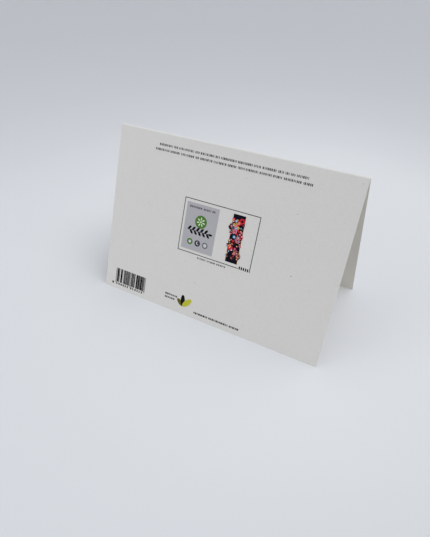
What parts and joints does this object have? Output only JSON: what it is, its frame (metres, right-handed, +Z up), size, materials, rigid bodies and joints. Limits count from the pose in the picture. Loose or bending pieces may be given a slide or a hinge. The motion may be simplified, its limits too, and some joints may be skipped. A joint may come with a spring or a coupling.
{
  "type": "greeting card",
  "caption": "Landscape greeting card of uncoated recycled board, creased along its long edge and standing open like a tent.",
  "frame": {"origin": "on the surface the card stands on, midway between its two feet and midway along the fold", "axes": "+X along the fold, -Y out of the back cover's side, +Z up through the fold"},
  "size_m": [0.148, 0.0756, 0.0981],
  "materials": {
    "recycled_board": "uncoated matt recycled board, off-white, with sparse fibres and flecks"
  },
  "bodies": {
    "root": {"folded_card": "recycled_board"}
  },
  "joints": []
}
